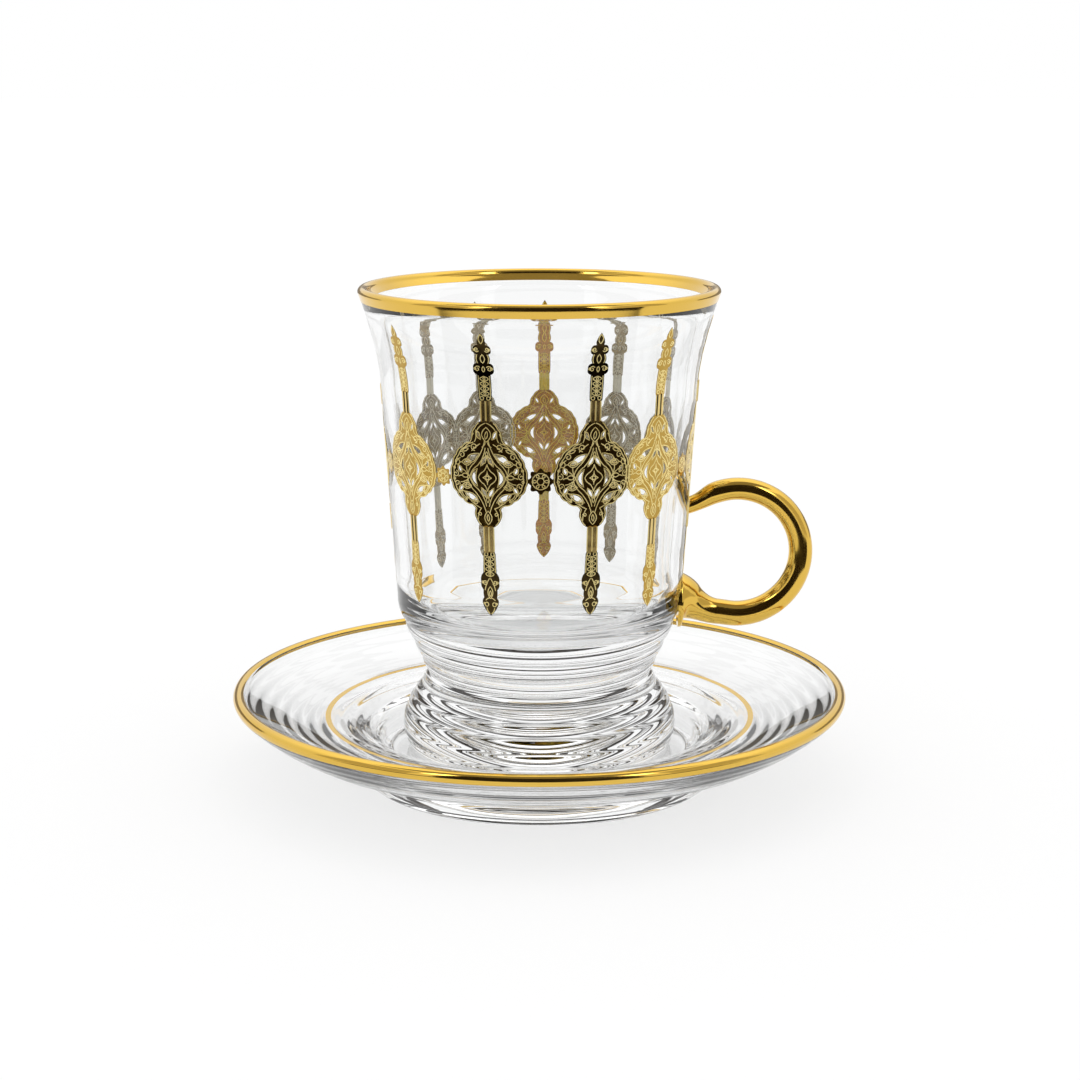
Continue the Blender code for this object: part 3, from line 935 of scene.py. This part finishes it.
def makeCards():
    s = studio
    dark = plainMaterial("darkCard", s["cardColour"], 0.9)
    ground = [(reach, s["floorCardLift"]) for reach in s["floorCardReach"]]
    reflectionOnly(fan("floorCard", ground, -s["floorCardHalf"], s["floorCardHalf"], dark))
    half = s["frontHalf"]
    reflectionOnly(fan("frontCard", dome(*s["frontHeights"]), -half, half, dark))
    for number, (low, high) in enumerate(s["darkBands"], 1):  # seen through the glass alone
        band = fan(f"horizonBand_{number}", dome(low, high, 2), 0, 360, dark)
        reflectionOnly(band, through=True)
        band.visible_glossy = False

    lit = plainMaterial("softboxFace", (0.8, 0.8, 0.8), 0.9)
    shader = lit.node_tree.nodes["Principled BSDF"]
    shader.inputs["Emission Color"].default_value = (*s["softboxColour"], 1)
    shader.inputs["Emission Strength"].default_value = s["softbox"]
    dim = plainMaterial("dimCard", s["dimColour"], 0.9)
    pale = plainMaterial("paleCard", s["paleColour"], 0.9)
    edge = half + s["softboxWidth"]
    for side in (-1, 1):
        strip, flank = sorted((side * half, side * edge)), sorted((side * edge, side * s["sideTo"]))
        reflectionOnly(fan(f"softbox_{strip[0]:.0f}", dome(*s["softboxHeights"]), *strip, lit))
        reflectionOnly(fan(f"sideCard_{flank[0]:.0f}", dome(*s["sideHeights"]), *flank, pale))
    reflectionOnly(fan("canopy", dome(*s["canopyHeights"]), -s["canopyHalf"], s["canopyHalf"], dim))
    reflectionOnly(fan("rearCard", dome(*s["rearHeights"]), *s["rearSides"], dim))


def makeWorld():
    world = bpy.data.worlds.new("whiteStudio")
    world.use_nodes = True
    bpy.context.scene.world = world
    nodes, links = world.node_tree.nodes, world.node_tree.links
    way = nodes.new("ShaderNodeTexCoord")
    parts = nodes.new("ShaderNodeSeparateXYZ")
    height = nodes.new("ShaderNodeMapRange")
    height.interpolation_type = "SMOOTHSTEP"
    height.inputs["From Min"].default_value = studio["horizonTo"]
    height.inputs["From Max"].default_value = studio["zenithFrom"]
    height.inputs["To Min"].default_value = studio["horizon"]
    height.inputs["To Max"].default_value = studio["zenith"]
    links.new(way.outputs["Generated"], parts.inputs["Vector"])
    links.new(parts.outputs["Z"], height.inputs["Value"])
    links.new(height.outputs["Result"], nodes["Background"].inputs["Strength"])
    nodes["Background"].inputs["Color"].default_value = (1, 1, 1, 1)


def makeCamera():
    data = bpy.data.cameras.new("camera")
    data.lens = studio["lens"]
    data.sensor_width = studio["sensor"]
    camera = bpy.data.objects.new("camera", data)
    camera.location = studio["eye"]
    camera.rotation_euler = (math.pi / 2 - studio["pitch"], 0, 0)
    bpy.context.scene.collection.objects.link(camera)
    bpy.context.scene.camera = camera


makeFloor()
makeCards()
makeWorld()
makeCamera()
bpy.context.scene.view_settings.view_transform = "Standard"
print("studio set")
